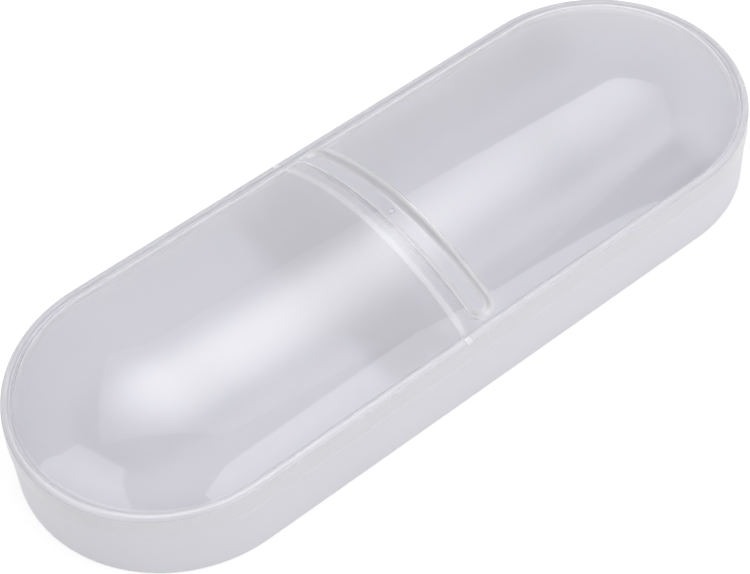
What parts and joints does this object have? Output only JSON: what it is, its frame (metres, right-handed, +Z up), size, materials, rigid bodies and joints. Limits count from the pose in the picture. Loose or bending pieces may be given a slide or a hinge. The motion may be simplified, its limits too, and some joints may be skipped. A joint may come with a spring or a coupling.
{
  "type": "electric toothbrush travel case",
  "caption": "Pill-shaped travel case for an electric toothbrush: a white tub with a moulded cradle, and a see-through domed lid with a finger groove that lifts straight off.",
  "frame": {"origin": "middle of the flat underside, on the surface that the case rests on", "axes": "+X along the case, +Y across it, +Z up out of the lid's dome"},
  "size_m": [0.227, 0.0804, 0.0353],
  "materials": {
    "base_plastic": "fine satin moulded polypropylene, milky white",
    "cradle_plastic": "satin moulded polypropylene, milky white",
    "pad_rubber": "soft matt elastomer, pale grey",
    "peg_plastic": "satin white",
    "lid_plastic": "polished outside, milky see-through",
    "rib_plastic": "smooth white"
  },
  "bodies": {
    "case_base": {"base_shell": "base_plastic", "cradle_tray": "cradle_plastic", "handle_pad_front": "pad_rubber", "handle_pad_rear": "pad_rubber", "head_peg_left": "peg_plastic", "head_peg_right": "peg_plastic"},
    "lid": {"lid_shell": "lid_plastic", "hold_down_rib": "rib_plastic"}
  },
  "joints": [
    {"name": "lid_lift", "type": "slide", "parent": "case_base", "child": "lid", "axis": [0, 0, 1], "range_m": [0, 0.06]}
  ]
}
